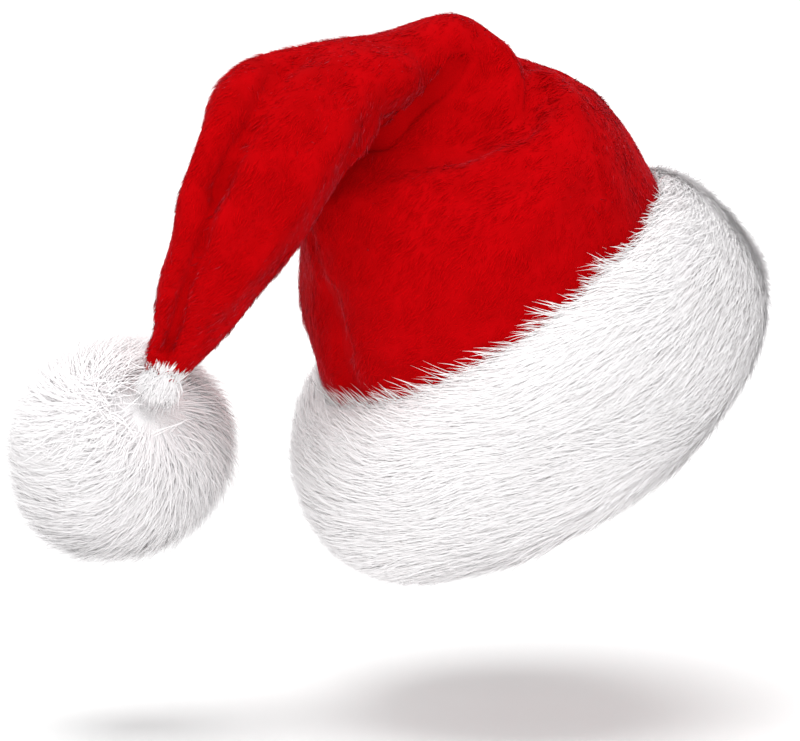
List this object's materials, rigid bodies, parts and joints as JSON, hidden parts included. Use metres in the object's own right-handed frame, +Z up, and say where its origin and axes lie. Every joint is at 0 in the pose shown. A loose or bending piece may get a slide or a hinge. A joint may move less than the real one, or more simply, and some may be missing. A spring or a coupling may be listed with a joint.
{
  "type": "santa hat",
  "caption": "Red plush santa hat, worn upright, with a deep white fur band round the head opening and a pointed tail folded over to one side that ends in a fur ball.",
  "frame": {"origin": "centre of the head opening, in the plane of the wall's lower edge; the hat is held there as on a head", "axes": "+Z is up in the picture, +X is the picture's right, +Y is away from the viewer. The hat leans as in the picture: the head opening faces right, back and down, along (0.472, 0.366, -0.802)"},
  "size_m": [0.3614, 0.2518, 0.2677],
  "materials": {
    "red_plush": "short dense plush pile, matte with a soft sheen",
    "white_brim_fur": "long white fur pile, matte",
    "white_ball_fur": "long white fur pile, matte"
  },
  "bodies": {
    "root": {"crown": "red_plush", "brim": "white_brim_fur", "pompom": "white_ball_fur"}
  },
  "joints": []
}
